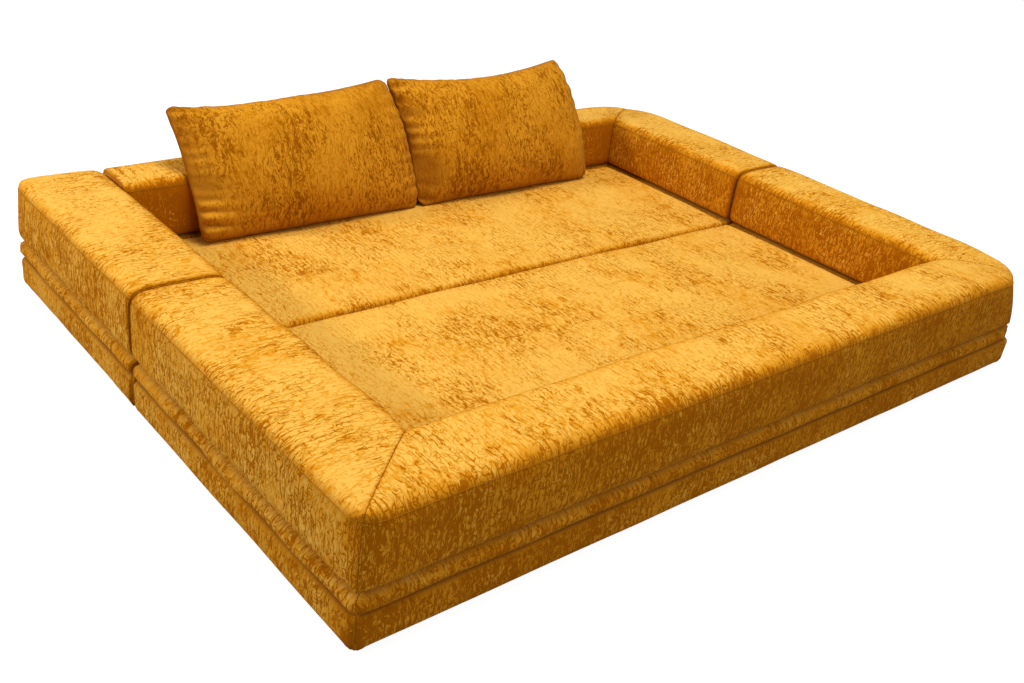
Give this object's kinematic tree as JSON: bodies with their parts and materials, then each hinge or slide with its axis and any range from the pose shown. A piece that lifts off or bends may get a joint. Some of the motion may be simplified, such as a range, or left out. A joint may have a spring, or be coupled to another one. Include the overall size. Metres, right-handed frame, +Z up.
{
  "type": "sofa bed",
  "caption": "Low two-part sofa bed: facing upholstered halves with arms, back and front rail round a flat lying surface, and loose pillows.",
  "frame": {"origin": "on the floor under the centre of the made-up bed", "axes": "+Z up, +X to the right along the lying surface, seen from the front rail, +Y to the back bolster"},
  "size_m": [2.53, 1.851, 0.5461],
  "materials": {
    "gold_velvet": "crushed chenille velvet, mustard gold, short pile with streaks",
    "pillow_velvet": "crushed chenille velvet, deeper ochre",
    "pine": "planed softwood",
    "plywood": "birch plywood",
    "zinc_steel": "zinc plated",
    "dust_cloth": "black non-woven cloth",
    "black_plastic": "moulded nylon"
  },
  "bodies": {
    "rear_half": {"rear_base_cover": "gold_velvet", "rear_joint_rail": "pine", "rear_back_rail": "pine", "rear_left_end_rail": "pine", "rear_right_end_rail": "pine", "rear_cross_rails": "pine", "rear_left_rim_board": "plywood", "rear_back_rim_board": "plywood", "rear_right_rim_board": "plywood", "rear_slats": "pine", "rear_mattress": "gold_velvet", "rear_left_band": "gold_velvet", "rear_back_band": "gold_velvet", "rear_right_band": "gold_velvet", "rear_left_arm": "gold_velvet", "rear_back_bolster": "gold_velvet", "rear_right_arm": "gold_velvet", "rear_left_arm_board": "plywood", "rear_back_board": "plywood", "rear_right_arm_board": "plywood", "rear_bolster_bolts": "zinc_steel", "rear_tee_nuts": "zinc_steel", "rear_frame_screws": "zinc_steel", "rear_glides": "black_plastic", "rear_dust_cover": "dust_cloth", "rear_locator_sockets": "black_plastic"},
    "front_half": {"front_base_cover": "gold_velvet", "front_joint_rail": "pine", "front_outer_rail": "pine", "front_left_end_rail": "pine", "front_right_end_rail": "pine", "front_cross_rails": "pine", "front_left_rim_board": "plywood", "front_rail_rim_board": "plywood", "front_right_rim_board": "plywood", "front_slats": "pine", "front_mattress": "gold_velvet", "front_left_band": "gold_velvet", "front_rail_band": "gold_velvet", "front_right_band": "gold_velvet", "front_left_arm": "gold_velvet", "front_rail_bolster": "gold_velvet", "front_right_arm": "gold_velvet", "front_left_arm_board": "plywood", "front_rail_board": "plywood", "front_right_arm_board": "plywood", "front_bolster_bolts": "zinc_steel", "front_tee_nuts": "zinc_steel", "front_frame_screws": "zinc_steel", "front_glides": "black_plastic", "front_dust_cover": "dust_cloth", "front_locator_pins": "zinc_steel"},
    "left_pillow": {"left_pillow": "pillow_velvet"},
    "right_pillow": {"right_pillow": "pillow_velvet"}
  },
  "joints": [
    {"name": "front_half_slide", "type": "slide", "parent": "rear_half", "child": "front_half", "axis": [0, -1, 0], "range_m": [0, 0.6]},
    {"name": "left_pillow_lift", "type": "slide", "parent": "rear_half", "child": "left_pillow", "axis": [0, 0, 1], "range_m": [0, 0.5]},
    {"name": "right_pillow_lift", "type": "slide", "parent": "rear_half", "child": "right_pillow", "axis": [0, 0, 1], "range_m": [0, 0.5]}
  ]
}
